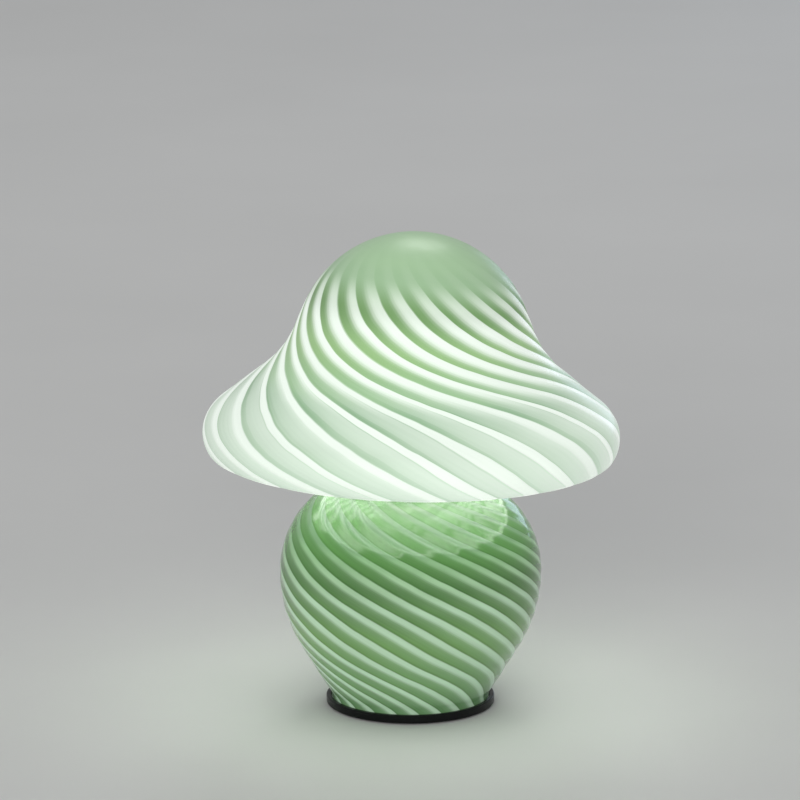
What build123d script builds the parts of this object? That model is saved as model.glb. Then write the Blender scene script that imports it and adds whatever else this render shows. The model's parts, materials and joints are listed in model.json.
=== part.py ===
from build123d import *
from math import atan2, cos, pi, radians, sin, sqrt, tan
import os

# Night light: a bell-shaped glass cap on a three-post carrier over a small screw-in bulb,
# above a round glass base that stands in a shallow metal foot.
# Origin at the centre of the resting face, +Z up, cord side at +Y. Millimetres and degrees.

# Fits
thread_gap = 0.05
slip_gap = 0.2
glass_gap = 0.3
edge_round = 0.6
screw_slot_width = 0.7
screw_slot_depth = 0.9

# Foot
pad_thickness = 1.2
pad_recess = 0.6
foot_rim = 1.7
tray_thickness = 1.4
lip_height = 1.7
lip_wall = 2.0
lip_gap = 0.4
hub_wall = 2.0
hub_ceiling = 2.0
hub_room = 3.0
tail_room = 1.3

# Base glass, from its foot edge upwards
base_wall = 3.0
base_gasket_thickness = 0.8
base_foot_radius = 36.0
waist_height = 0.6
waist_radius = 6.0
taper_angle = 31.6
taper_length = 25.0
lower_radius = 66.0
shoulder_radius = 43.0
neck_hole_radius = 20.0

# Cord inlet in the rear of the base glass
inlet_along_taper = 11.0
grommet_bore = 2.9
grommet_neck = 5.0
grommet_flange = 7.0
flange_thickness = 1.8
flange_room = 0.7

# Stem and its lower fixing
stem_radius = 5.0
stem_bore = 3.5
stem_tail = 1.5
nut_flats = 14.0
nut_height = 4.0
washer_radius = 9.0
washer_thickness = 1.0
washer_split = 0.5

# Terminal block and inner leads
block_depth = 9.0
block_margin = 4.0
block_gap = 2.0
block_crown = 2.7
block_base = 4.0
pole_spread = 4.0
terminal_screw_radius = 1.7
terminal_screw_length = 2.0
block_screw_radius = 1.5
block_screw_head = 2.6
block_screw_head_height = 1.8
lead_radius = 0.9
lead_spread = 1.4
lead_bend = 8.0
lead_socket = 2.5
lead_gap = 1.2
jog_length = 4.6
jog_straight = 1.6
jog_bend_share = 0.9

# Neck cap
neck_gasket_width = 4.2
neck_gasket_thickness = 1.2
neck_gasket_inset = 0.5
neck_cap_thickness = 1.2
neck_cap_overhang = 1.4
neck_cap_skirt = 1.4

# Lampholder
holder_radius = 13.5
holder_wall = 2.5
holder_depth = 31.0
holder_floor = 7.0
holder_stand = 1.2
ring_nut_height = 5.0
ring_nut_width = 4.0
ring_nut_notches = 12
ring_nut_notch_radius = 0.8
insert_floor = 4.0
insert_drop = 1.0
screw_shell_wall = 0.45
contact_leaf = 0.5
contact_rise = 1.7
contact_width = 3.6
contact_length = 11.0
contact_foot = 2.0
contact_ramp = 1.2

# Carrier over the bulb
star_thickness = 1.5
star_rim = 8.0
star_arm_width = 8.0
post_count = 3
post_room = 0.8
post_radius = 2.0
post_end_radius = 1.5
post_nut_flats = 5.5
bulb_passage = 0.5
post_nut_height = 2.4
plate_rim = 7.5
plate_thickness = 1.2
pad_rise = 4.5
pad_lap = 3.0
pad_under = 1.5
pad_outer = 2.3

# Cap glass, from its top downwards
shade_wall = 3.0
rim_clearance = 13.2
dome_radius = 54.3
dome_angle = 68.7
side_length = 10.5
flare_radius = 50.0
flare_angle = 39.5
flare_length = 26.4
rim_radius = 15.0
rim_tuck = 30.0
rim_round = 1.35

# Bulb
thread_radius = 6.95
thread_root = 6.45
thread_pitch = 2.82
thread_turns = 4
bulb_gap = 0.1
tip_radius = 2.3
tip_height = 1.4
insulator_height = 2.5
insulator_foot = 3.0
cap_bore = 5.9
cap_collar = 4.2
cap_flange = 1.5
housing_gap = 1.4
housing_wall = 1.5
housing_foot_radius = 9.5
housing_top_radius = 18.5
housing_height = 20.0
housing_band = 6.7
housing_ledge = 1.0
globe_radius = 22.5
globe_wall = 1.2
board_thickness = 1.5
led_count = 6
led_size = 3.0
led_height = 0.8
led_circle = 9.0
driver_thickness = 1.4
driver_height = 14.0
driver_width = 13.0

# Stack of the foot
plate_bottom = pad_thickness - pad_recess
tray_floor = pad_thickness + tray_thickness
foot_radius = base_foot_radius + lip_gap + lip_wall
pad_radius = foot_radius - foot_rim
nut_bottom = pad_thickness + tail_room + stem_tail
nut_top = nut_bottom + nut_height
hub_underside = nut_top + washer_thickness
hub_top = hub_underside + hub_ceiling
hub_cavity_radius = washer_radius + hub_room
hub_radius = hub_cavity_radius + hub_wall
base_bottom = tray_floor + base_gasket_thickness

# Stack of the base glass
taper_sin = sin(radians(taper_angle))
taper_cos = cos(radians(taper_angle))
taper_start_radius = base_foot_radius + waist_radius * (1 - taper_cos)
taper_start_height = base_bottom + waist_height + waist_radius * taper_sin
taper_end_radius = taper_start_radius + taper_length * taper_sin
belly_radius = taper_end_radius + lower_radius * (1 - taper_cos)
belly_height = taper_start_height + taper_length * taper_cos + lower_radius * taper_sin
base_top = belly_height + shoulder_radius

# Stack of the neck and lampholder
gasket_inner = neck_hole_radius + neck_gasket_inset
gasket_outer = gasket_inner + neck_gasket_width
neck_cap_bottom = base_top + neck_gasket_thickness
neck_cap_radius = gasket_outer + neck_cap_overhang
star_bottom = neck_cap_bottom + neck_cap_thickness
star_top = star_bottom + star_thickness
star_radius = holder_radius + star_rim
holder_top = star_top + ring_nut_height + holder_stand
holder_bottom = holder_top - holder_depth
holder_bore = holder_radius - holder_wall
insert_bottom = holder_bottom + holder_floor
insert_top = holder_top - insert_drop
insert_seat = insert_bottom + insert_floor
screw_shell_bore = thread_radius + slip_gap
screw_shell_radius = screw_shell_bore + screw_shell_wall
contact_top = insert_seat + contact_rise
stem_bottom = nut_bottom - stem_tail
stem_top = insert_bottom - thread_gap

# Stack of the leads
lead_height = hub_top + lead_radius + lead_gap
block_front = max(hub_radius + block_gap, lead_bend + jog_length + 2 * jog_straight)
block_top = lead_height + block_crown
block_width = 2 * (pole_spread + block_margin)

# Stack of the bulb
tip_bottom = contact_top + bulb_gap
insulator_bottom = tip_bottom + tip_height
cap_bottom = insulator_bottom + insulator_height
housing_bottom = max(cap_bottom + thread_turns * thread_pitch + cap_collar, holder_top + housing_gap)
housing_top = housing_bottom + housing_height
globe_foot_radius = housing_top_radius - housing_ledge
globe_centre = housing_top + sqrt(globe_radius**2 - globe_foot_radius**2)
globe_inner_radius = globe_radius - globe_wall
globe_inner_foot = sqrt(globe_inner_radius**2 - (globe_centre - housing_top) ** 2)
board_radius = globe_inner_foot - slip_gap

# Circle of the carrier's posts: clear of the neck cap, with room for the bulb between two posts
post_nut_radius = post_nut_flats / sqrt(3)
post_spacing = 2 * (globe_radius + post_radius + bulb_passage)
post_circle = max(neck_cap_radius + post_nut_radius + post_room, post_spacing / (2 * sin(pi / post_count)))

# Stack of the cap glass and its carrier
rim_edge_height = base_top + rim_clearance
flare_sin = sin(radians(flare_angle))
flare_cos = cos(radians(flare_angle))
dome_sin = sin(radians(dome_angle))
dome_cos = cos(radians(dome_angle))
tuck_sin = sin(radians(rim_tuck))
shade_height = (
    dome_radius * (1 - dome_cos)
    + side_length * dome_sin
    + flare_radius * (flare_cos - dome_cos)
    + flare_length * flare_sin
    + rim_radius * (flare_cos + tuck_sin)
)
shade_radius = (
    dome_radius * dome_sin
    + side_length * dome_cos
    + flare_radius * (dome_sin - flare_sin)
    + flare_length * flare_cos
    + rim_radius * (1 - flare_sin)
)
lamp_height = rim_edge_height + shade_height
dome_centre = lamp_height - dome_radius
dome_inner_radius = dome_radius - shade_wall
plate_radius = post_circle + plate_rim
plate_top = dome_centre + sqrt(dome_inner_radius**2 - plate_radius**2) - pad_rise
plate_bottom_height = plate_top - plate_thickness

# Alignment of a piece that stands on its place, centred over it
standing = (Align.CENTER, Align.CENTER, Align.MIN)


# A disc or ring on the Z axis between two heights
def ring(outer, bottom, top, inner=0.0):
    solid = Cylinder(outer, top - bottom, align=standing)
    if inner > 0:
        solid -= Cylinder(inner, top - bottom, align=standing)
    return Pos(0, 0, bottom) * solid


# A hexagonal nut on the Z axis, measured across its flats
def hex_nut(flats, bore, bottom, top):
    outline = RegularPolygon(flats / 2, 6, major_radius=False) - Circle(bore)
    return Pos(0, 0, bottom) * extrude(outline, top - bottom)


# A closed outline of radius and height points, turned about the Z axis
def turned(points):
    return revolve(Plane.XZ * make_face(Polyline(*points, close=True)), Axis.Z)


# Curves of radius and height, with their ends joined, turned about the Z axis
def turned_curves(curves):
    return revolve(Plane.XZ * make_face(curves), Axis.Z)


# Copies of a piece evenly spaced round the Z axis, the first at +Y
def around(piece, count, radius):
    return [loc * piece for loc in PolarLocations(radius, count, start_angle=90)]


# The base's wall line at a depth inside the glass, from the axis at the top to the foot edge
def base_line(depth):
    top = Line((0, base_top - depth), (belly_radius - shoulder_radius, base_top - depth))
    shoulder = JernArc(top @ 1, top % 1, shoulder_radius - depth, -90)
    lower = JernArc(shoulder @ 1, shoulder % 1, lower_radius - depth, -taper_angle)
    taper = Line(lower @ 1, lower @ 1 + (lower % 1) * taper_length)
    waist = JernArc(taper @ 1, taper % 1, waist_radius + depth, taper_angle)
    foot = Line(waist @ 1, ((waist @ 1).X, base_bottom))
    return top + shoulder + lower + taper + waist + foot


# The cap's wall line at a depth inside the glass, from the axis at the top to the rim
def shade_line(depth):
    dome = JernArc((0, lamp_height - depth), (1, 0), dome_radius - depth, -dome_angle)
    side = Line(dome @ 1, dome @ 1 + (dome % 1) * side_length)
    flare = JernArc(side @ 1, side % 1, flare_radius + depth, dome_angle - flare_angle)
    slope = Line(flare @ 1, flare @ 1 + (flare % 1) * flare_length)
    rim = JernArc(slope @ 1, slope % 1, rim_radius - depth, flare_angle - 90 - rim_tuck)
    return dome + side + flare + slope + rim


# Two wall lines joined at the axis and at their free ends
def glass_shell(outer, inner):
    return turned_curves(outer + inner + Line(outer @ 0, inner @ 0) + Line(outer @ 1, inner @ 1))


# Place of the cord inlet: on the taper's outer face at the rear, facing square to the glass
def inlet_plane():
    radius = taper_start_radius + inlet_along_taper * taper_sin
    height = taper_start_height + inlet_along_taper * taper_cos
    return Plane(origin=(0, radius, height), x_dir=(1, 0, 0), z_dir=(0, taper_cos, -taper_sin))


def make_foot_plate():
    plate = turned(
        [
            (stem_radius + thread_gap, hub_underside),
            (stem_radius + thread_gap, hub_top),
            (hub_radius, hub_top),
            (hub_radius, tray_floor),
            (foot_radius - lip_wall, tray_floor),
            (foot_radius - lip_wall, tray_floor + lip_height),
            (foot_radius, tray_floor + lip_height),
            (foot_radius, plate_bottom),
            (pad_radius + slip_gap, plate_bottom),
            (pad_radius + slip_gap, pad_thickness),
            (hub_cavity_radius, pad_thickness),
            (hub_cavity_radius, hub_underside),
        ]
    )
    outside = plate.edges().filter_by(GeomType.CIRCLE).sort_by(SortBy.RADIUS)[-2:]
    plate = fillet(outside, min(edge_round, lip_wall / 3))
    screw_hole = ring(block_screw_radius + thread_gap, 0, hub_top)
    return plate - Pos(0, block_front + block_depth / 2, 0) * screw_hole


def make_base_glass():
    shell = glass_shell(base_line(0), base_line(base_wall))
    shell -= ring(neck_hole_radius, base_top - 2 * base_wall, base_top + base_wall)
    inlet = inlet_plane() * Cylinder(grommet_neck + slip_gap, 4 * base_wall)
    return shell - inlet


def make_grommet():
    groove = base_wall + flange_room
    outer = Pos(0, 0, flange_thickness / 2) * Cylinder(grommet_flange, flange_thickness)
    neck = Pos(0, 0, -groove / 2) * Cylinder(grommet_neck, groove)
    inner = Pos(0, 0, -groove - flange_thickness / 2) * Cylinder(grommet_flange, flange_thickness)
    body = outer + neck + inner
    front = body.edges().sort_by(Axis.Z)[-1:]
    body = fillet(front, flange_thickness / 2)
    body -= Cylinder(grommet_bore, 4 * (groove + flange_thickness))
    return inlet_plane() * body


# A split spring washer, cut through at the rear
def make_lock_washer():
    washer = ring(washer_radius, nut_top, hub_underside, stem_radius + thread_gap)
    split = Box(washer_split, washer_radius, 2 * washer_thickness)
    return washer - Pos(0, washer_radius / 2, nut_top) * split


def make_stem():
    tube = ring(stem_radius, stem_bottom, stem_top, stem_bore)
    slot_width = 2 * (lead_spread + lead_radius + slip_gap)
    slot_bottom = lead_height - lead_radius - slip_gap
    slot_height = lead_radius + slip_gap + lead_bend / 2
    slot = Pos(0, 0, slot_bottom) * Box(
        slot_width, 2 * stem_radius, slot_height, align=(Align.CENTER, Align.MIN, Align.MIN)
    )
    return tube - slot


# One lead from the terminal block through the stem to the lampholder, on the side given by sign
def make_lead(sign):
    start = (sign * pole_spread, block_front + lead_socket, lead_height)
    jog_start = (sign * pole_spread, block_front - jog_straight, lead_height)
    jog_end = (sign * lead_spread, block_front - jog_straight - jog_length, lead_height)
    corner = (sign * lead_spread, 0, lead_height)
    finish = (sign * lead_spread, 0, insert_bottom)
    half_jog = atan2(abs(pole_spread - lead_spread), jog_length) / 2
    jog_bend = jog_bend_share * jog_straight / tan(half_jog)
    bends = [jog_bend, jog_bend, lead_bend]
    route = FilletPolyline(start, jog_start, jog_end, corner, finish, radius=bends)
    section = Plane(origin=start, z_dir=route % 0) * Circle(lead_radius)
    return sweep(section, path=route)


def make_terminal_block():
    centre = block_front + block_depth / 2
    block = Pos(0, centre, tray_floor) * Box(
        block_width, block_depth, block_top - tray_floor, align=standing
    )
    block = fillet(block.edges().filter_by(Axis.Z), edge_round)
    for side in (-1, 1):
        block -= Pos(side * pole_spread, centre, block_top) * Cylinder(
            terminal_screw_radius + thread_gap, 2 * terminal_screw_length
        )
        socket = Plane(origin=(side * pole_spread, block_front, lead_height), z_dir=(0, 1, 0))
        block -= socket * Cylinder(lead_radius + slip_gap, 2 * lead_socket)
        rear = Plane(origin=(side * pole_spread, block_front + block_depth, lead_height), z_dir=(0, 1, 0))
        block -= rear * Cylinder(lead_radius + slip_gap, 2 * lead_socket)
    well_bottom = tray_floor + block_base
    block -= Pos(0, centre, 0) * ring(block_screw_head + slip_gap, well_bottom, block_top)
    return block - Pos(0, centre, 0) * ring(block_screw_radius + thread_gap, tray_floor, well_bottom)


# A plain cylinder head with a straight driver slot, on a round shank
def slotted_screw(head, head_height, shank, length):
    body = ring(head, 0, head_height)
    body -= Pos(0, 0, head_height) * Box(2 * head, screw_slot_width, 2 * screw_slot_depth)
    if length > 0:
        body += ring(shank, -length, 0)
    return body


def make_terminal_screws():
    centre = block_front + block_depth / 2
    screw = slotted_screw(terminal_screw_radius, terminal_screw_length, terminal_screw_radius, 0)
    seat = block_top - terminal_screw_length
    return [Pos(side * pole_spread, centre, seat) * screw for side in (-1, 1)]


def make_block_screw():
    length = block_base + tray_thickness - slip_gap
    screw = slotted_screw(block_screw_head, block_screw_head_height, block_screw_radius, length)
    return Pos(0, block_front + block_depth / 2, tray_floor + block_base) * screw


# A soft ring between the sloping shoulder of the glass and the flat neck cap
def make_neck_gasket():
    outside = base_line(-thread_gap)
    axis_foot = (0, base_bottom)
    envelope = turned_curves(outside + Line(outside @ 1, axis_foot) + Line(axis_foot, outside @ 0))
    return ring(gasket_outer, base_top - shoulder_radius / 2, neck_cap_bottom, gasket_inner) - envelope


def make_neck_cap():
    skirt_bottom = neck_cap_bottom - neck_cap_skirt
    skirt_inner = neck_cap_radius - neck_cap_thickness
    cap = ring(neck_cap_radius, skirt_bottom, star_bottom, holder_radius + slip_gap)
    cap -= ring(skirt_inner, skirt_bottom, neck_cap_bottom)
    rim = cap.faces().sort_by(Axis.Z)[-1].edges().sort_by(SortBy.RADIUS)[-1:]
    return fillet(rim, neck_cap_thickness / 2)


def make_holder_shell():
    shell = ring(holder_radius, holder_bottom, holder_top, holder_bore)
    floor = ring(holder_radius, holder_bottom, insert_bottom, stem_radius + thread_gap)
    shell += floor
    mouth = shell.faces().sort_by(Axis.Z)[-1].edges()
    return fillet(mouth, min(edge_round, holder_wall / 3))


def make_holder_insert():
    body = ring(holder_bore - thread_gap, insert_bottom, insert_top)
    return body - ring(screw_shell_radius + thread_gap, insert_seat, insert_top)


# A springy leaf with one end on the insert and the rest bent up under the bulb's tip
def make_holder_contact():
    foot_start = -contact_length / 2
    foot_end = foot_start + contact_foot
    ramp_end = foot_end + contact_ramp
    leaf = make_face(
        Polyline(
            (foot_start, insert_seat),
            (foot_end, insert_seat),
            (ramp_end, contact_top - contact_leaf),
            (contact_length / 2, contact_top - contact_leaf),
            (contact_length / 2, contact_top),
            (ramp_end, contact_top),
            (foot_end, insert_seat + contact_leaf),
            (foot_start, insert_seat + contact_leaf),
            close=True,
        )
    )
    return extrude(Plane.XZ * leaf, contact_width / 2, both=True)


def make_ring_nut():
    outer = holder_radius + thread_gap + ring_nut_width
    nut = ring(outer, star_top, star_top + ring_nut_height, holder_radius + thread_gap)
    notch = Pos(0, 0, star_top + ring_nut_height / 2) * Cylinder(ring_nut_notch_radius, 2 * ring_nut_height)
    return nut - around(notch, ring_nut_notches, outer)


# A flat hub with one arm and one eye for each post
def make_carrier_star():
    outline = Circle(star_radius)
    arm = Pos(-post_circle / 2, 0) * Rectangle(post_circle, star_arm_width) + Circle(star_arm_width / 2)
    for place in PolarLocations(post_circle, post_count, start_angle=90):
        outline += place * arm
    outline -= Circle(holder_radius + slip_gap)
    for place in PolarLocations(post_circle, post_count, start_angle=90):
        outline -= place * Circle(post_end_radius + thread_gap)
    return Pos(0, 0, star_bottom) * extrude(outline, star_thickness)


# Upright rods with a thinner threaded end through the star and through the plate
def make_carrier_posts():
    thread_bottom = star_bottom - post_nut_height
    thread_top = plate_top + post_nut_height
    post = ring(post_radius, star_top, plate_bottom_height)
    post += ring(post_end_radius, thread_bottom, thread_top)
    return around(post, post_count, post_circle)


def make_carrier_nuts():
    bore = post_end_radius + thread_gap
    lower = hex_nut(post_nut_flats, bore, star_bottom - post_nut_height, star_bottom)
    upper = hex_nut(post_nut_flats, bore, plate_top, plate_top + post_nut_height)
    return around(lower, post_count, post_circle) + around(upper, post_count, post_circle)


def make_carrier_plate():
    plate = ring(plate_radius, plate_bottom_height, plate_top)
    hole = Pos(0, 0, plate_top) * Cylinder(post_end_radius + thread_gap, 4 * plate_thickness)
    return plate - around(hole, post_count, post_circle)


# A soft channel round the plate's edge, its outside following the inside of the dome
def make_shade_pad():
    body = ring(
        plate_radius + pad_outer,
        plate_bottom_height - pad_under,
        plate_top + pad_rise,
        plate_radius - pad_lap,
    )
    body &= Pos(0, 0, dome_centre) * Sphere(dome_inner_radius - glass_gap)
    groove = ring(plate_radius + slip_gap, plate_bottom_height - slip_gap, plate_top + slip_gap)
    return body - groove


def make_shade_glass():
    shell = glass_shell(shade_line(0), shade_line(shade_wall))
    rim = shell.edges().filter_by(GeomType.CIRCLE).sort_by(Axis.Z)[:2]
    return fillet(rim, min(rim_round, 0.45 * shade_wall))


def make_bulb_tip():
    tip = ring(tip_radius, tip_bottom, insulator_bottom)
    return fillet(tip.edges().sort_by(Axis.Z)[0], tip_height / 2)


def make_bulb_insulator():
    return turned(
        [
            (0, insulator_bottom),
            (insulator_foot, insulator_bottom),
            (cap_bore, cap_bottom),
            (0, cap_bottom),
        ]
    )


# A thin metal cap with rolled ridges, plain above them, with an inward flange at the bottom
def make_bulb_cap():
    foot = Line((cap_bore - cap_flange, cap_bottom), (thread_root, cap_bottom))
    outline = foot
    for turn in range(thread_turns):
        low = cap_bottom + turn * thread_pitch
        middle = (thread_radius, low + thread_pitch / 2)
        outline += ThreePointArc((thread_root, low), middle, (thread_root, low + thread_pitch))
    thread_top = cap_bottom + thread_turns * thread_pitch
    outline += Polyline(
        (thread_root, thread_top),
        (thread_root, housing_bottom),
        (cap_bore, housing_bottom),
        (cap_bore, cap_bottom + cap_flange),
        (cap_bore - cap_flange, cap_bottom + cap_flange),
        (cap_bore - cap_flange, cap_bottom),
    )
    return turned_curves(outline)


# A tapered hollow collar, closed at the foot and open at the top under the board
def make_bulb_housing():
    foot = housing_bottom + housing_wall
    return turned(
        [
            (0, housing_bottom),
            (housing_foot_radius, housing_bottom),
            (housing_top_radius, housing_top - housing_band),
            (housing_top_radius, housing_top),
            (globe_inner_foot - housing_ledge, housing_top),
            (globe_inner_foot - housing_ledge, housing_top - housing_band),
            (housing_foot_radius - housing_wall, foot),
            (0, foot),
        ]
    )


def make_bulb_globe():
    ball = Sphere(globe_radius) - Sphere(globe_inner_radius)
    below = ring(2 * globe_radius, globe_centre - 2 * globe_radius, housing_top)
    return Pos(0, 0, globe_centre) * ball - below


def make_bulb_leds():
    chip = Pos(0, 0, housing_top + board_thickness) * Box(
        led_size, led_size, led_height, align=standing
    )
    return around(chip, led_count, led_circle)


def make_bulb_driver():
    return Pos(0, 0, housing_bottom + housing_wall) * Box(
        driver_width, driver_thickness, driver_height, align=standing
    )


nodes = {
    "foot_pad": ring(pad_radius, 0, pad_thickness),
    "foot_plate": make_foot_plate(),
    "base_gasket": ring(base_foot_radius, tray_floor, base_bottom, base_foot_radius - base_wall),
    "glass_base": make_base_glass(),
    "cord_grommet": make_grommet(),
    "stem_tube": make_stem(),
    "stem_nut": hex_nut(nut_flats, stem_radius + thread_gap, nut_bottom, nut_top),
    "stem_lock_washer": make_lock_washer(),
    "terminal_block": make_terminal_block(),
    "terminal_screws": make_terminal_screws(),
    "block_screw": make_block_screw(),
    "live_lead": make_lead(1),
    "neutral_lead": make_lead(-1),
    "neck_gasket": make_neck_gasket(),
    "neck_cap": make_neck_cap(),
    "lampholder_shell": make_holder_shell(),
    "lampholder_insert": make_holder_insert(),
    "lampholder_screw_shell": ring(screw_shell_radius, insert_seat, insert_top, screw_shell_bore),
    "lampholder_contact": make_holder_contact(),
    "lampholder_ring_nut": make_ring_nut(),
    "carrier_star": make_carrier_star(),
    "carrier_posts": make_carrier_posts(),
    "carrier_nuts": make_carrier_nuts(),
    "carrier_plate": make_carrier_plate(),
    "shade_pad": make_shade_pad(),
    "glass_shade": make_shade_glass(),
    "bulb_tip": make_bulb_tip(),
    "bulb_insulator": make_bulb_insulator(),
    "bulb_cap": make_bulb_cap(),
    "bulb_housing": make_bulb_housing(),
    "bulb_globe": make_bulb_globe(),
    "bulb_led_board": ring(board_radius, housing_top, housing_top + board_thickness),
    "bulb_leds": make_bulb_leds(),
    "bulb_driver": make_bulb_driver(),
}

os.makedirs("parts", exist_ok=True)
for name, piece in nodes.items():
    pieces = piece if isinstance(piece, list) else [piece]
    solids = [solid for item in pieces for solid in item.solids()]
    export_step(Compound(children=solids), f"parts/{name}.step")

print(f"cap diameter {2 * shade_radius:.1f}, base diameter {2 * belly_radius:.1f}")
print(f"lamp height {lamp_height:.1f}, bulb top {globe_centre + globe_radius:.1f}")
for lead in ("live_lead", "neutral_lead"):
    print(f"{lead} bend radius {lead_bend:.1f}, volume {nodes[lead].volume:.1f}")
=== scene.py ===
import json
import bpy
import numpy as np
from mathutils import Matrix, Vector


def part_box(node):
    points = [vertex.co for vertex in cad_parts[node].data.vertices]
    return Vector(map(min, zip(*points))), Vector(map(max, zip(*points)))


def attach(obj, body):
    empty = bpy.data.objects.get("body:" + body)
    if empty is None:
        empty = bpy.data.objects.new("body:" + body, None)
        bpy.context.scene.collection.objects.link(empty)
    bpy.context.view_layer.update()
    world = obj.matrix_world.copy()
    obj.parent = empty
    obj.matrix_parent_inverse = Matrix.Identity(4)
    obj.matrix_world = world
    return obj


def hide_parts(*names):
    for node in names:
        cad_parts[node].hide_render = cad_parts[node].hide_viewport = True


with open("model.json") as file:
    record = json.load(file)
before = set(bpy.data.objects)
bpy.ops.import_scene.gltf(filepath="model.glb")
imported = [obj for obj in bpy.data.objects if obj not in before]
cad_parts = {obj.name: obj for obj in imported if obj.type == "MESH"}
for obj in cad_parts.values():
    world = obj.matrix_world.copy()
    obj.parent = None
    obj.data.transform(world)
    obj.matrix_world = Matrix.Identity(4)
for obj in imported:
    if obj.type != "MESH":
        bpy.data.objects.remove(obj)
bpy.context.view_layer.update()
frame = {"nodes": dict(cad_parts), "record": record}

# Night light: swirl-striped glass cap over a round swirl-striped glass base, lit from inside.
# Shapes are set in millimetres and degrees, finishes and the stage in metres.
mm = 0.001
markUnit = 100.0  # the swirl map counts millimetres along the profile in hundreds


# Eased step: 0 below low, 1 above high, and 3t^2 - 2t^3 between them
def easedStep(x, low, high):
    t = np.clip((x - low) / (high - low), 0, 1)
    return t * t * (3 - 2 * t)


# Lengths along a profile's steps: a straight's own size, or an arc's radius times its turn
def stepLengths(steps):
    return [size if turn == 0 else size * abs(np.radians(turn)) for size, turn in steps]


# A profile of arcs and straights. On an arc the heading h turns evenly and a point is the start plus
# side * radius * (sin h - sin h0, cos h0 - cos h); on a straight it is the start plus
# length * (cos h, sin h). Each step is (size, turn, mark at its end); the mark runs evenly along it.
def arcChain(start, heading, mark, steps, spacing):
    rows = []
    r, z = start
    h0 = np.radians(heading)
    for size, turn, markEnd in steps:
        length = stepLengths([(size, turn)])[0]
        t = np.linspace(0, 1, max(2, int(np.ceil(length / spacing))) + 1)[1:]
        h = h0 + np.radians(turn) * t
        if turn == 0:
            stepR = size * t * np.cos(h0)
            stepZ = size * t * np.sin(h0)
        else:
            side = np.sign(turn)
            stepR = side * size * (np.sin(h) - np.sin(h0))
            stepZ = side * size * (np.cos(h0) - np.cos(h))
        rows.append(np.stack([r + stepR, z + stepZ, h, mark + (markEnd - mark) * t]))
        r, z, h0, mark = r + stepR[-1], z + stepZ[-1], h[-1], markEnd
    return np.concatenate(rows, axis=1)


# The angle round the axis where phi - cosDrift * cos(phi) - sinDrift * sin(phi) equals target,
# by rounds of Newton's step
def swirlAngle(target, cosDrift, sinDrift, rounds=10):
    phi = target + 0 * cosDrift
    for step in range(rounds):
        c, s = np.cos(np.radians(phi)), np.sin(np.radians(phi))
        slope = 1 + np.radians(cosDrift * s - sinDrift * c)
        phi = phi - (phi - cosDrift * c - sinDrift * s - target) / slope
    return phi


# Even angles round the axis: column number * 2 pi / columns
def ringAngles(columns):
    return np.arange(columns) * 2 * np.pi / columns


# Points round the axis, with the angle counted from the front: (reach sin turn, -reach cos turn, height)
def aroundAxis(reach, turn, height):
    return np.stack(np.broadcast_arrays(reach * np.sin(turn), -reach * np.cos(turn), height), -1)


# A ring grid stood on a sloping axis: at + x side + y up + z axis, with side along x and up square to both
def standOn(points, at, axis):
    along = np.array(axis) / np.linalg.norm(axis)
    side = np.array([1.0, 0.0, 0.0])
    return np.array(at) + points @ np.stack([side, np.cross(along, side), along])


# Quads of a grid that closes round its columns, and round its rows too if asked. A corner is the point
# row * columns + column; the corners' rows and columns are handed on too.
def gridQuads(rows, columns, closeRows):
    i, j = np.meshgrid(np.arange(rows if closeRows else rows - 1), np.arange(columns), indexing="ij")
    corners = [(i, j), (i + 1, j), (i + 1, j + 1), (i, j + 1)]
    faces = np.stack([a % rows * columns + b % columns for a, b in corners], -1).reshape(-1, 4)
    cornerRow = np.stack([a % rows for a, b in corners], -1).reshape(-1, 4)
    cornerColumn = np.stack([b for a, b in corners], -1).reshape(-1, 4)
    return faces, cornerRow, cornerColumn


# A skin over a grid of points in millimetres. Its columns close into rings; its rows close too, or end
# at two tips on the axis, each with a fan of triangles.
def gridSkin(name, points, tips=None):
    rows, columns = points.shape[:2]
    polygons = gridQuads(rows, columns, tips is None)[0].tolist()
    vertices = points.reshape(-1, 3) * mm
    if tips:
        j = np.arange(columns)
        k = (j + 1) % columns
        last = (rows - 1) * columns
        polygons += np.stack([np.full(columns, len(vertices)), j, k], -1).tolist()
        polygons += np.stack([last + j, np.full(columns, len(vertices) + 1), last + k], -1).tolist()
        vertices = np.concatenate([vertices, np.array([[0, 0, tip * mm] for tip in tips])])
    mesh = bpy.data.meshes.new(name)
    mesh.from_pydata(vertices.tolist(), [], polygons)
    mesh.polygons.foreach_set("use_smooth", np.ones(len(polygons), bool))
    mesh.update()
    made = bpy.data.objects.new(name, mesh)
    bpy.context.scene.collection.objects.link(made)
    return made


# A mesh's points, each put where a function of all of them says
def movePoints(mesh, moved):
    points = np.empty(len(mesh.vertices) * 3)
    mesh.vertices.foreach_get("co", points)
    mesh.vertices.foreach_set("co", moved(points.reshape(-1, 3)).ravel())
    mesh.update()


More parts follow.
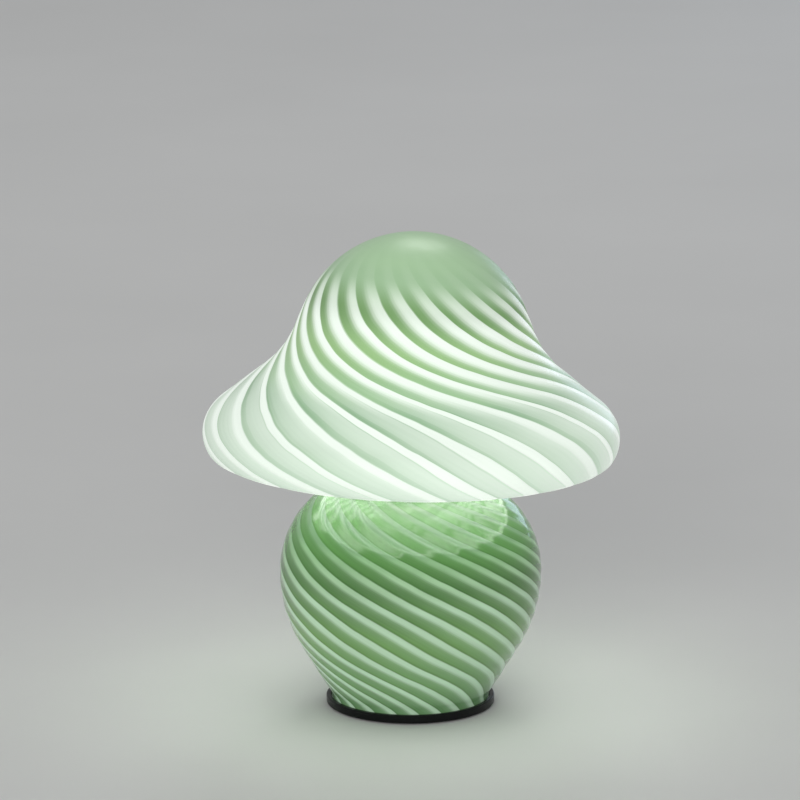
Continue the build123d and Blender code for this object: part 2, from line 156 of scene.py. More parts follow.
# A glass skin: row k of the profile turned to the angles phi[k], and pushed out by lift along its normal.
# A point is ((r - lift sin h) sin phi, -(r - lift sin h) cos phi, z + lift cos h).
# The map "swirl" holds the stripe count along u and the mark along v, which is 0 at a tip half a column on;
# "inside" is 0 outside and 1 inside.
def glassSkin(name, profile, phi, lift, stripes, inside, tips):
    r, z, h = [part[:, None] for part in profile[:3]]
    mark = profile[3] / markUnit
    points = aroundAxis(r - lift * np.sin(h), np.radians(phi), z + lift * np.cos(h))
    rows, columns = phi.shape
    cornerRow, cornerColumn = gridQuads(rows, columns, not tips)[1:]
    uv = np.stack([cornerColumn * stripes / columns, mark[cornerRow]], -1).reshape(-1, 2)
    inside = np.repeat(inside, columns)
    if tips:
        inside = np.concatenate([inside, [0, 1]])
        halfway = 0.5
        for end, corners in ((0, (halfway, 0, 1)), (-1, (0, halfway, 1))):
            fanU = (np.arange(columns)[:, None] + np.array(corners)) * stripes / columns
            fanV = np.where(np.array(corners) == halfway, 0, mark[end]) + 0 * fanU
            uv = np.concatenate([uv, np.stack([fanU, fanV], -1).reshape(-1, 2)])
    made = gridSkin(name, points, tips)
    made.data.uv_layers.new(name="swirl").data.foreach_set("uv", uv.astype(np.float32).ravel())
    within = made.data.attributes.new("inside", "FLOAT", "POINT")
    within.data.foreach_set("value", inside.astype(np.float32))
    return made


# Waves of blown glass round the axis: sin(2 phi + start) + second * sin(3 phi + s / run)
def blownWaves(phi, s, p):
    turn = np.radians(phi)
    second = np.sin(3 * turn + s[:, None] / p["wobbleRun"])
    return np.sin(2 * turn + p["wobbleStart"]) + p["wobbleSecond"] * second


# Cap glass. A stripe keeps phi - turn(s) - cosDrift(s) cos(phi) - sinDrift(s) sin(phi), with s from the top
# down. Spans are places along s; crownSpan and trueSpan are heights.
capShape = {
    "wall": 3.0, "domeRadius": 54.3, "domeAngle": 68.7, "sideLength": 10.5, "flareRadius": 50.0,
    "flareAngle": 39.5, "flareLength": 26.4, "rimRadius": 15.0, "rimTuck": 30.0, "rimEndRadius": 1.5,
    "rimRows": 2, "stripes": 22, "perStripe": 14, "spacing": 1.0,
    "start": -23.1, "twist": 0.695, "swirl": 23.1, "swirlAt": 84.8, "swirlWidth": 19.5,
    "flareTurn": -1.3, "flareTurnSpan": (98.0, 130.0),
    "rimTurn": 3.9, "rimTurnSpan": (130.0, 145.0), "rimSlant": -2.8,
    "cosDrift": (-4.5, 0.131), "sinDrift": (-2.0, 12.4, -9.4), "sinSpans": ((45.0, 105.0), (112.0, 150.0)),
    "ribHeight": 0.45, "ribPower": 0.8, "ribMiddle": 0.6, "ribCrease": 0.17, "ribSpan": (40.0, 62.0),
    "ribRim": (118.0, 147.0), "ribRimLoss": 0.7, "ribInsideLoss": 0.6,
    "wobble": 0.25, "wobbleSpan": (20.0, 90.0), "wobbleInside": (60.0, 95.0),
    "wobbleStart": 0.6, "wobbleSecond": 0.5, "wobbleRun": 30.0,
    "lean": 1.0, "pitch": 0.4, "leanAt": 121.5, "shift": 0.25, "crownShift": 0.5,
    "crownSpan": (130.0, 200.0), "trueSpan": (138.0, 180.0),
}


# The cap's profile: outside from the top down, round the rim, and back up the inside, a wall away
def capProfile(top, p):
    rimBend = 90 + p["rimTuck"] - p["flareAngle"]
    outer = [
        (p["domeRadius"], -p["domeAngle"]), (p["sideLength"], 0),
        (p["flareRadius"], p["domeAngle"] - p["flareAngle"]), (p["flareLength"], 0),
        (p["rimRadius"], -rimBend),
    ]
    marks = np.cumsum(stepLengths(outer))
    steps = [(size, turn, mark) for (size, turn), mark in zip(outer, marks)]
    steps.append((p["rimEndRadius"], -180, marks[-1]))
    for (size, turn), mark in zip(outer[::-1], [*marks[-2::-1], 0]):
        steps.append((size + np.sign(turn) * p["wall"], -turn, mark))
    return arcChain((0.0, top), 0.0, 0.0, steps, p["spacing"])[:, :-1]


# Share of the turn at the rim: the square of how far s is past the first mark of its span
def rimShare(s, p):
    low, high = p["rimTurnSpan"]
    return np.maximum(0, (s - low) / (high - low)) ** 2


# How far the cap's stripes have turned at s: start + twist * s + swirl * tanh((s - swirlAt) / swirlWidth),
# with a small eased turn back on the flare and a turn on at the rim
def capTurn(s, p):
    steady = p["start"] + p["twist"] * s + p["swirl"] * np.tanh((s - p["swirlAt"]) / p["swirlWidth"])
    return steady + p["flareTurn"] * easedStep(s, *p["flareTurnSpan"]) + p["rimTurn"] * rimShare(s, p)


# The two drifts of the cap's stripes at s: a straight line for the cosine, two eased steps and the rim's
# share for the sine
def capDrift(s, p):
    base, slope = p["cosDrift"]
    low, rise, fall = p["sinDrift"]
    first, second = p["sinSpans"]
    sinPart = low + rise * easedStep(s, *first) + fall * easedStep(s, *second)
    return base + slope * s, sinPart + p["rimSlant"] * rimShare(s, p)


# The cap's lean: points turn about a pivot at rim height, by lean to the right and by pitch to the back,
# and move right by shift, and by crownShift more in the crown. Up in the dome the inside stays true to the
# axis, so that the cap sits on its rest at every turn.
def leanCap(points, within, p):
    pivot = np.array([0, 0, p["leanAt"] * mm])
    a, b = np.radians(p["lean"]), np.radians(p["pitch"])
    toRight = np.array([[np.cos(a), 0, -np.sin(a)], [0, 1, 0], [np.sin(a), 0, np.cos(a)]])
    toBack = np.array([[1, 0, 0], [0, np.cos(b), -np.sin(b)], [0, np.sin(b), np.cos(b)]])
    leant = (points - pivot) @ toRight @ toBack + pivot
    leant[:, 0] += (p["shift"] + p["crownShift"] * easedStep(leant[:, 2] / mm, *p["crownSpan"])) * mm
    share = 1 - within * easedStep(points[:, 2] / mm, *p["trueSpan"])
    return points + share[:, None] * (leant - points)


# The cap: its profile carried round, with soft waves and a rib over each stripe. A rib is the arch
# sin(pi t)^ribPower - ribMiddle, with t counted from the crease. It fades in the crown, at the rim and
# inside.
def makeCap(p):
    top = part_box("glass_shade")[1].z / mm
    profile = capProfile(top, p)
    z, s = profile[1], profile[3]
    rimRow = int(np.argmin(z))
    inside = easedStep(np.arange(len(s)), rimRow - p["rimRows"], rimRow + p["rimRows"])
    columns = p["stripes"] * p["perStripe"]
    psi = np.arange(columns) * 360 / columns
    cosPart, sinPart = capDrift(s, p)
    phi = swirlAngle(psi[None, :] + capTurn(s, p)[:, None], cosPart[:, None], sinPart[:, None])
    t = (np.arange(columns) / p["perStripe"] - p["ribCrease"]) % 1
    arch = np.sin(np.pi * t)[None, :] ** p["ribPower"] - p["ribMiddle"]
    fade = easedStep(s, *p["ribSpan"]) * (1 - p["ribRimLoss"] * easedStep(s, *p["ribRim"]))
    fade = fade * (1 - p["ribInsideLoss"] * inside)
    soft = p["wobble"] * easedStep(s, *p["wobbleSpan"]) * (1 - 2 * inside)
    soft = soft * (1 - inside * (1 - easedStep(s, *p["wobbleInside"])))
    lift = p["ribHeight"] * fade[:, None] * arch + soft[:, None] * blownWaves(phi, s, p)
    cap = glassSkin("cap_glass", profile, phi, lift, p["stripes"], inside, (top, top - p["wall"]))
    within = np.concatenate([np.repeat(inside, columns), [0, 1]])
    movePoints(cap.data, lambda points: leanCap(points, within, p))
    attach(cap, "shade")
    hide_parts("glass_shade")
    return cap


# Base glass. A stripe keeps phi - turn(s) - cosDrift(s) cos(phi) - sinDrift(s) sin(phi), with s from the
# foot edge up. Spans are places along s.
baseShape = {
    "wall": 3.0, "footRadius": 36.0, "waistHeight": 0.6, "waistRadius": 6.0, "taperAngle": 31.6,
    "taperLength": 25.0, "lowerRadius": 66.0, "shoulderRadius": 43.0, "neckHole": 20.0, "edgeRadius": 0.5,
    "stripes": 23, "perStripe": 14, "spacing": 0.9,
    "start": 65.3, "twist": 1.78,
    "cosDrift": (3.7, 12.2), "cosSpan": (18.0, 62.0), "sinDrift": (6.1, -7.3), "sinSpan": (18.0, 88.0),
    "footTurn": 2.7, "footSpan": 20.0, "neckTurn": -2.2, "neckSpan": (78.0, 92.0),
    "ribHeight": 0.14, "ribShoulder": 0.048, "ribStart": (4.0, 14.0), "ribSpan": (55.0, 80.0),
    "wobble": 0.18, "wobbleRise": (12.0, 40.0), "wobbleFall": (84.0, 96.0),
    "wobbleStart": 1.1, "wobbleSecond": 0.6, "wobbleRun": -25.0,
    "inletAt": (0.0, 42.65, 16.51), "inletAxis": (0.0, 0.8517, -0.5240), "inletRadius": 5.2,
    "inletReach": 9.0, "inletSides": 48, "inletMark": (0.5, 0.15),
}


# The base's profile: outside from the neck hole down to the foot edge, round it, and back up the inside.
# The shoulder's arc ends where its radius from the axis is the neck hole's: sin(left) = neck / arc radius.
def baseProfile(foot, p):
    w = p["wall"]
    a = np.radians(p["taperAngle"])
    taperTop = p["footRadius"] + p["waistRadius"] * (1 - np.cos(a)) + p["taperLength"] * np.sin(a)
    belly = taperTop + p["lowerRadius"] * (1 - np.cos(a))
    neck = p["neckHole"] - (belly - p["shoulderRadius"])
    outerLeft = np.degrees(np.arcsin(neck / p["shoulderRadius"]))
    innerLeft = np.degrees(np.arcsin(neck / (p["shoulderRadius"] - w)))
    up = [
        (p["waistHeight"] - p["edgeRadius"], 0), (p["waistRadius"], -p["taperAngle"]),
        (p["taperLength"], 0), (p["lowerRadius"], p["taperAngle"]), (p["shoulderRadius"], 90 - outerLeft),
    ]
    marks = np.cumsum([0, *stepLengths(up)])
    steps = [(size, -turn, mark) for (size, turn), mark in zip(up[::-1], marks[-2::-1])]
    steps += [(p["edgeRadius"], -90, 0), (w - 2 * p["edgeRadius"], 0, 0), (p["edgeRadius"], -90, 0)]
    inner = [*up[:-1], (p["shoulderRadius"], 90 - innerLeft)]
    for (size, turn), mark in zip(inner, marks[1:]):
        steps.append((size - np.sign(turn) * w, turn, mark))
    bellyHeight = foot + p["waistHeight"] + p["waistRadius"] * np.sin(a)
    bellyHeight += p["taperLength"] * np.cos(a) + p["lowerRadius"] * np.sin(a)
    rise = p["shoulderRadius"] * np.cos(np.radians(outerLeft))
    return arcChain((p["neckHole"], bellyHeight + rise), -outerLeft, marks[-1], steps, p["spacing"])


# The cord's hole: a round bar along the inlet's axis is cut out of the wall, and the bar is thrown away
def drillInlet(base, p):
    ends = (p["inletReach"], -p["inletReach"])
    ring = aroundAxis(p["inletRadius"], ringAngles(p["inletSides"])[None, :], np.array(ends)[:, None])
    bar = gridSkin("inlet_bar", ring, ends)
    marks = np.tile(p["inletMark"], (len(bar.data.loops), 1)).astype(np.float32)
    bar.data.uv_layers.new(name="swirl").data.foreach_set("uv", marks.ravel())
    movePoints(bar.data, lambda points: standOn(points / mm, p["inletAt"], p["inletAxis"]) * mm)
    cut = base.modifiers.new("inlet", "BOOLEAN")
    cut.operation = "DIFFERENCE"
    cut.solver = "EXACT"
    cut.object = bar
    shaped = base.evaluated_get(bpy.context.evaluated_depsgraph_get())
    whole, base.data = base.data, bpy.data.meshes.new_from_object(shaped)
    base.modifiers.clear()
    bpy.data.meshes.remove(whole)
    bpy.data.objects.remove(bar)
    base.data.name = base.name


# The base: its profile carried round, with soft waves and a rib on each stripe. A rib is a cosine across
# the stripe, highest on the white, and lower on the shoulder. The turn is start - twist * s, with a little
# less at the foot and at the neck.
def makeBase(p):
    profile = baseProfile(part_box("glass_base")[0].z / mm, p)
    z, s = profile[1], profile[3]
    inside = (np.arange(len(s)) > int(np.argmin(z))).astype(float)
    columns = p["stripes"] * p["perStripe"]
    psi = np.arange(columns) * 360 / columns
    footPart = p["footTurn"] * np.maximum(0, 1 - s / p["footSpan"])
    cosPart = p["cosDrift"][0] + p["cosDrift"][1] * easedStep(s, *p["cosSpan"])
    sinPart = p["sinDrift"][0] + p["sinDrift"][1] * easedStep(s, *p["sinSpan"]) - footPart
    ownTurn = p["start"] - p["twist"] * s - footPart + p["neckTurn"] * easedStep(s, *p["neckSpan"])
    phi = swirlAngle(psi[None, :] + ownTurn[:, None], cosPart[:, None], sinPart[:, None])
    t = np.arange(columns) / p["perStripe"]
    rib = p["ribHeight"] + (p["ribShoulder"] - p["ribHeight"]) * easedStep(s, *p["ribSpan"])
    rib = rib * (easedStep(s, *p["ribStart"]) * (1 - inside))
    fade = easedStep(s, *p["wobbleRise"]) * (1 - easedStep(s, *p["wobbleFall"])) * (1 - inside)
    lift = rib[:, None] * np.cos(2 * np.pi * t)[None, :]
    lift = lift + p["wobble"] * fade[:, None] * blownWaves(phi, s, p)
    base = glassSkin("base_glass", profile, phi, lift, p["stripes"], inside, None)
    drillInlet(base, p)
    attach(base, "lamp")
    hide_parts("glass_base")
    return base


capGlass = makeCap(capShape)
print("cap glass:", len(capGlass.data.polygons), "faces")
baseGlass = makeBase(baseShape)
print("base glass:", len(baseGlass.data.polygons), "faces")

noiseSpan = (0.25, 0.75)  # where nearly all of a cloudy noise lies
noiseCore = (0.3, 0.7)  # the same, with its ends cut off flat
cloudDetail = 3.0  # levels of finer cloud


# A socket takes a link or a plain value
def put(tree, socket, value):
    if isinstance(value, bpy.types.NodeSocket):
        tree.links.new(value, socket)
    else:
        socket.default_value = value


# An empty material with its shader and output
def newFinish(name):
    finish = bpy.data.materials.new(name)
    finish.use_nodes = True
    tree = finish.node_tree
    tree.nodes.clear()
    shader = tree.nodes.new("ShaderNodeBsdfPrincipled")
    output = tree.nodes.new("ShaderNodeOutputMaterial")
    tree.links.new(shader.outputs["BSDF"], output.inputs["Surface"])
    return finish, tree, shader


# One arithmetic step on numbers or links
def maths(tree, operation, *values):
    made = tree.nodes.new("ShaderNodeMath")
    made.operation = operation
    for socket, value in zip(made.inputs, values):
        put(tree, socket, value)
    return made.outputs[0]


# Colours along a factor from 0 to 1, eased between given places
def ramp(tree, factor, stops):
    made = tree.nodes.new("ShaderNodeValToRGB")
    made.color_ramp.interpolation = "EASE"
    elements = made.color_ramp.elements
    while len(elements) < len(stops):
        elements.new(1.0)
    for element, (at, colour) in zip(elements, stops):
        element.position = at
        element.color = (*colour, 1.0)
    put(tree, made.inputs["Fac"], factor)
    return made.outputs["Color"]


# A grey ramp, read as a number
def curve(tree, factor, stops):
    return ramp(tree, factor, [(at, (level,) * 3) for at, level in stops])


# A value moved from one span to another, eased unless asked not to be
def span(tree, value, low, high, toLow=0.0, toHigh=1.0, eased=True):
    made = tree.nodes.new("ShaderNodeMapRange")
    made.interpolation_type = "SMOOTHSTEP" if eased else "LINEAR"
    for socket, number in zip(made.inputs, (value, low, high, toLow, toHigh)):
        put(tree, socket, number)
    return made.outputs["Result"]


# Cloudy noise on a vector, from 0 to 1
def noise(tree, vector, scale, detail=2.0):
    made = tree.nodes.new("ShaderNodeTexNoise")
    put(tree, made.inputs["Vector"], vector)
    made.inputs["Scale"].default_value = scale
    made.inputs["Detail"].default_value = detail
    return made.outputs["Fac"]


# Two colours mixed by a factor
def mixed(tree, factor, first, second, blend="MIX"):
    made = tree.nodes.new("ShaderNodeMix")
    made.data_type = "RGBA"
    made.blend_type = blend
    put(tree, made.inputs["Factor"], factor)
    colours = [socket for socket in made.inputs if socket.type == "RGBA"]
    for socket, colour in zip(colours, (first, second)):
        put(tree, socket, colour if isinstance(colour, bpy.types.NodeSocket) else (*colour, 1.0))
    return [socket for socket in made.outputs if socket.type == "RGBA"][0]


# Height in metres as a bump on the shader
def bump(tree, shader, height, depth):
    made = tree.nodes.new("ShaderNodeBump")
    made.inputs["Strength"].default_value = 1.0
    made.inputs["Distance"].default_value = depth
    tree.links.new(height, made.inputs["Height"])
    tree.links.new(made.outputs["Normal"], shader.inputs["Normal"])


# Place on the piece in metres
def place(tree):
    return tree.nodes.new("ShaderNodeTexCoord").outputs["Object"]


# The three parts of a vector
def partsOf(tree, vector):
    made = tree.nodes.new("ShaderNodeSeparateXYZ")
    tree.links.new(vector, made.inputs[0])
    return made.outputs


# The swirl map's two coordinates: stripes counted round, and decimetres along the profile
def swirlPlace(tree):
    chart = tree.nodes.new("ShaderNodeUVMap")
    chart.uv_map = "swirl"
    return partsOf(tree, chart.outputs["UV"])[:2]


# Place across one stripe, 0 to 1 from the sharp edge of a white to the next. Each stripe has its own random
# numbers; the first of them bends the place to x^k, so that no two stripes are alike, and the other two are
# handed on.
def acrossStripe(tree, u, here, p):
    waver = span(tree, noise(tree, here, p["waverScale"]), *noiseSpan, -p["waver"], p["waver"])
    count = maths(tree, "SUBTRACT", maths(tree, "ADD", u, waver), p["edge"])
    index = maths(tree, "FLOORED_MODULO", maths(tree, "FLOOR", count), p["stripes"])
    dice = tree.nodes.new("ShaderNodeTexWhiteNoise")
    dice.noise_dimensions = "1D"
    tree.links.new(index, dice.inputs["W"])
    own = tree.nodes.new("ShaderNodeSeparateColor")
    tree.links.new(dice.outputs["Color"], own.inputs[0])
    power = span(tree, own.outputs[0], 0.0, 1.0, *p["uneven"], False)
    return maths(tree, "POWER", maths(tree, "FRACT", count), power), own.outputs[1], own.outputs[2]


# How far round to the right a place is, from -1 to 1: x / sqrt(x^2 + y^2)
def aroundX(tree, here):
    flat = tree.nodes.new("ShaderNodeVectorMath")
    flat.operation = "MULTIPLY"
    tree.links.new(here, flat.inputs[0])
    flat.inputs[1].default_value = (1.0, 1.0, 0.0)
    outward = tree.nodes.new("ShaderNodeVectorMath")
    outward.operation = "NORMALIZE"
    tree.links.new(flat.outputs[0], outward.inputs[0])
    return partsOf(tree, outward.outputs[0])[0]


# Streaks that run along the stripes: noise on the swirl map, fine across and long along
def streaks(tree, u, v, across, along, detail):
    joined = tree.nodes.new("ShaderNodeCombineXYZ")
    tree.links.new(maths(tree, "MULTIPLY", u, across), joined.inputs[0])
    tree.links.new(maths(tree, "MULTIPLY", v, along), joined.inputs[1])
    return noise(tree, joined.outputs[0], 1.0, detail)


# Cap glass finish. Stripe curves give the share of white across a stripe; colours and glow run from the
# top, 0, to the rim, 1. slimSpan, broadRise and broadFall are metres to the right, and the other spans
# decimetres along the profile, but for kindSpan, which parts the two kinds of stripe.
capLook = {
    "stripes": 22, "edge": 0.15, "uneven": (0.84, 1.17), "waver": 0.03, "waverScale": 38.0,
    "stripeHigh": [(0.0, 0.5), (0.025, 0.06), (0.05, 0.0), (0.25, 0.03), (0.36, 0.16), (0.5, 0.56),
                   (0.62, 0.88), (0.72, 1.0), (0.955, 1.0), (0.978, 0.94), (1.0, 0.5)],
    "stripeShaded": [(0.0, 0.5), (0.02, 0.04), (0.04, 0.0), (0.1, 0.21), (0.3, 0.33), (0.5, 0.44),
                     (0.64, 0.55), (0.74, 0.85), (0.8, 0.98), (0.965, 1.0), (0.982, 0.96), (1.0, 0.5)],
    "stripeBanded": [(0.0, 0.5), (0.02, 0.02), (0.06, 0.0), (0.15, 0.1), (0.21, 0.33), (0.38, 0.44),
                     (0.6, 0.53), (0.68, 0.55), (0.71, 0.33), (0.73, 0.39), (0.755, 1.0), (0.965, 1.0),
                     (0.982, 0.96), (1.0, 0.5)],
    "kindSpan": (0.35, 0.65), "lowSpan": (0.86, 1.12), "end": 1.486,
    "slant": 1.3, "slantSpan": (0.5, 0.9), "slim": (1.22, 0.8), "slimSpan": (-0.03, 0.04),
    "broad": 0.4, "broadRise": (-0.02, 0.03), "broadFall": (0.04, 0.085), "broadSpan": (1.05, 1.3),
    "wisp": 0.02, "wispGrid": (7.0, 1.6, 1.0), "wispSpan": (0.4, 1.0), "ownTone": (-0.03, 0.03),
    "green": [(0.0, (0.50, 0.77, 0.45)), (0.19, (0.485, 0.735, 0.435)), (0.26, (0.44, 0.68, 0.40)),
              (0.38, (0.20, 0.39, 0.145)), (0.5, (0.265, 0.48, 0.19)), (0.64, (0.285, 0.51, 0.25)),
              (0.71, (0.24, 0.455, 0.235)), (0.84, (0.30, 0.48, 0.29)), (1.0, (0.36, 0.54, 0.365))],
    "white": [(0.0, (0.50, 0.77, 0.45)), (0.19, (0.485, 0.735, 0.435)), (0.26, (0.48, 0.71, 0.44)),
              (0.40, (0.60, 0.73, 0.60)), (1.0, (0.60, 0.72, 0.60))],
    # Glow: painted light of the bulb through the glass, kept low in the crown as a painted shadow of the
    # rest plate
    "greenGlow": [(0.0, (0.02, 0.03, 0.02)), (0.28, (0.02, 0.03, 0.02)), (0.37, (0.03, 0.05, 0.02)),
                  (0.5, (0.12, 0.17, 0.09)), (0.64, (0.13, 0.17, 0.12)), (0.71, (0.12, 0.15, 0.12)),
                  (0.84, (0.23, 0.27, 0.23)), (1.0, (0.30, 0.33, 0.305))],
    "whiteGlow": [(0.0, (0.02, 0.03, 0.02)), (0.26, (0.03, 0.04, 0.03)), (0.36, (0.28, 0.29, 0.27)),
                  (0.44, (0.47, 0.48, 0.47)), (1.0, (0.47, 0.48, 0.47))],
    # Inside glow: painted light, far brighter than outside, for the base's shoulder to mirror; edgeGlow
    # lights the rim
    "insideGreenGlow": (0.7, 0.8, 0.66), "insideWhiteGlow": (2.4, 2.45, 2.38), "edgeGlow": 0.24,
    "roughness": (0.29, 0.38), "satinScale": 160.0, "grainScale": 260.0, "grain": 0.000005, "ior": 1.5,
}


# The cap's finish: each stripe starts green at the sharp edge of the last white and climbs slowly to its
# own white. Nearer the rim the white narrows and the green turns pale, in stripes of two kinds: one shaded
# evenly, one banded. The crown above is plain and reaches further down on the right, where the place along
# the profile is moved by slant * x. The whites are slimmer on the left and broader on the right: the place
# across is raised to slim above the flare, and on the flare to 1 - broad, right of the middle. The glow
# follows the same stripes, with edgeGlow * w (1 - w) added where w goes from 0 outside to 1 inside.
# The glow is painted light of the bulb shining through the glass. It stays low in the crown, which is a
# painted shadow of the rest plate over the bulb. It is far brighter inside, as painted light that the
# base's shoulder mirrors.
def makeCapFinish(p):
    finish, tree, shader = newFinish("cap_swirl_glass")
    u, v = swirlPlace(tree)
    here = place(tree)
    x = partsOf(tree, here)[0]
    across, kind, own = acrossStripe(tree, u, here, p)
    right = maths(tree, "MAXIMUM", x, 0.0)
    lag = maths(tree, "MULTIPLY", right, span(tree, v, *p["slantSpan"], p["slant"], 0.0))
    down = maths(tree, "DIVIDE", maths(tree, "SUBTRACT", v, lag), p["end"])
    slim = span(tree, x, *p["slimSpan"], *p["slim"])
    high = curve(tree, maths(tree, "POWER", across, slim), p["stripeHigh"])
    rise = span(tree, x, *p["broadRise"])
    fall = span(tree, x, *p["broadFall"], 1.0, 0.0)
    broad = span(tree, v, *p["broadSpan"], 0.0, p["broad"])
    broad = maths(tree, "MULTIPLY", maths(tree, "MULTIPLY", rise, fall), broad)
    across = maths(tree, "POWER", across, maths(tree, "SUBTRACT", 1.0, broad))
    shaded = curve(tree, across, p["stripeShaded"])
    banded = curve(tree, across, p["stripeBanded"])
    low = mixed(tree, span(tree, kind, *p["kindSpan"]), shaded, banded)
    stripe = mixed(tree, span(tree, v, *p["lowSpan"]), high, low)
    wisps = span(tree, streaks(tree, u, v, *p["wispGrid"]), *noiseSpan, -p["wisp"], p["wisp"])
    wisps = maths(tree, "ADD", wisps, span(tree, own, 0.0, 1.0, *p["ownTone"], False))
    tone = maths(tree, "MULTIPLY_ADD", wisps, span(tree, v, *p["wispSpan"]), 1.0)
    colour = mixed(tree, stripe, ramp(tree, down, p["green"]), ramp(tree, down, p["white"]))
    tree.links.new(mixed(tree, 1.0, colour, tone, "MULTIPLY"), shader.inputs["Base Color"])
    inside = tree.nodes.new("ShaderNodeAttribute")
    inside.attribute_name = "inside"
    within = inside.outputs["Fac"]
    # Painted light of the bulb through the glass, with brighter painted light on the inside
    glow = mixed(tree, stripe, ramp(tree, down, p["greenGlow"]), ramp(tree, down, p["whiteGlow"]))
    glow = mixed(tree, within, glow, mixed(tree, high, p["insideGreenGlow"], p["insideWhiteGlow"]))
    tree.links.new(glow, shader.inputs["Emission Color"])
    edge = maths(tree, "MULTIPLY", within, maths(tree, "SUBTRACT", 1.0, within))
    gain = maths(tree, "MULTIPLY_ADD", edge, p["edgeGlow"], tone)
    tree.links.new(gain, shader.inputs["Emission Strength"])
    satin = span(tree, noise(tree, here, p["satinScale"], cloudDetail), *noiseSpan, *p["roughness"])
    tree.links.new(satin, shader.inputs["Roughness"])
    shader.inputs["IOR"].default_value = p["ior"]
    bump(tree, shader, noise(tree, here, p["grainScale"]), p["grain"])
    return finish


# Base glass finish. The stripe curve gives the share of white across a stripe, and line the dark edge
# beside it; colours run from the foot, 0, to the neck, 1, and darken towards the neck in painted shade
# under the cap. The side span is how far round to the right the painted light from the left reaches.
baseLook = {
    "stripes": 23, "edge": 0.19, "uneven": (0.93, 1.07), "waver": 0.025, "waverScale": 45.0,
    "stripe": [(0.0, 0.5), (0.025, 0.08), (0.05, 0.0), (0.2, 0.05), (0.42, 0.13), (0.54, 0.24),
               (0.635, 0.55), (0.72, 0.9), (0.79, 1.0), (0.955, 1.0), (0.978, 0.93), (1.0, 0.5)],
    "line": [(0.0, 1.0), (0.03, 0.86), (0.08, 0.9), (0.13, 1.0), (1.0, 1.0)],
    # Both colours darken from 0.55 towards the neck: painted shade under the cap
    "green": [(0.0, (0.145, 0.31, 0.125)), (0.2, (0.172, 0.36, 0.126)), (0.4, (0.153, 0.338, 0.09)),
              (0.55, (0.107, 0.25, 0.067)), (0.66, (0.06, 0.17, 0.036)), (0.76, (0.062, 0.18, 0.036)),
              (0.93, (0.084, 0.204, 0.055)), (1.0, (0.15, 0.27, 0.125))],
    "white": [(0.0, (0.59, 0.83, 0.60)), (0.2, (0.60, 0.84, 0.62)), (0.4, (0.555, 0.78, 0.56)),
              (0.55, (0.51, 0.73, 0.515)), (0.66, (0.36, 0.55, 0.34)), (0.76, (0.23, 0.39, 0.21)),
              (0.82, (0.15, 0.27, 0.14)), (0.93, (0.145, 0.235, 0.14)), (1.0, (0.2, 0.28, 0.19))],
    # The side span and its gain on the line below paint light from the left onto the glass
    "end": 1.077, "paintedLightSide": (-0.95, -0.4), "pale": (1.16, 1.0),
    "cloud": (0.94, 1.04), "cloudGrid": (6.0, 3.0, 3.0), "ownTone": (0.96, 1.04),
    "roughness": (0.095, 0.12), "glossScale": 120.0, "grainScale": 140.0, "grain": 0.000003, "ior": 1.65,
}


# The base's finish: white canes a third of a stripe wide in clear green, under a hard glossy surface.
# The tone is a cloud times the stripe's own share, and a little paler on the left, which is painted light
# from the left.
def makeBaseFinish(p):
    finish, tree, shader = newFinish("base_swirl_glass")
    u, v = swirlPlace(tree)
    here = place(tree)
    across, _, own = acrossStripe(tree, u, here, p)
    down = maths(tree, "DIVIDE", v, p["end"])
    stripe = curve(tree, across, p["stripe"])
    colour = mixed(tree, stripe, ramp(tree, down, p["green"]), ramp(tree, down, p["white"]))
    colour = mixed(tree, 1.0, colour, curve(tree, across, p["line"]), "MULTIPLY")
    cloud = span(tree, streaks(tree, u, v, *p["cloudGrid"]), *noiseSpan, *p["cloud"])
    tone = maths(tree, "MULTIPLY", cloud, span(tree, own, 0.0, 1.0, *p["ownTone"], False))
    # Painted light from the left: the tone is raised on the left side
    tone = maths(tree, "MULTIPLY", tone, span(tree, aroundX(tree, here), *p["paintedLightSide"], *p["pale"]))
    tree.links.new(mixed(tree, 1.0, colour, tone, "MULTIPLY"), shader.inputs["Base Color"])
    gloss = span(tree, noise(tree, here, p["glossScale"], cloudDetail), *noiseSpan, *p["roughness"])
    tree.links.new(gloss, shader.inputs["Roughness"])
    shader.inputs["IOR"].default_value = p["ior"]
    bump(tree, shader, noise(tree, here, p["grainScale"]), p["grain"])
    return finish


capGlass.data.materials.append(makeCapFinish(capLook))
baseGlass.data.materials.append(makeBaseFinish(baseLook))
print("glass finishes made")

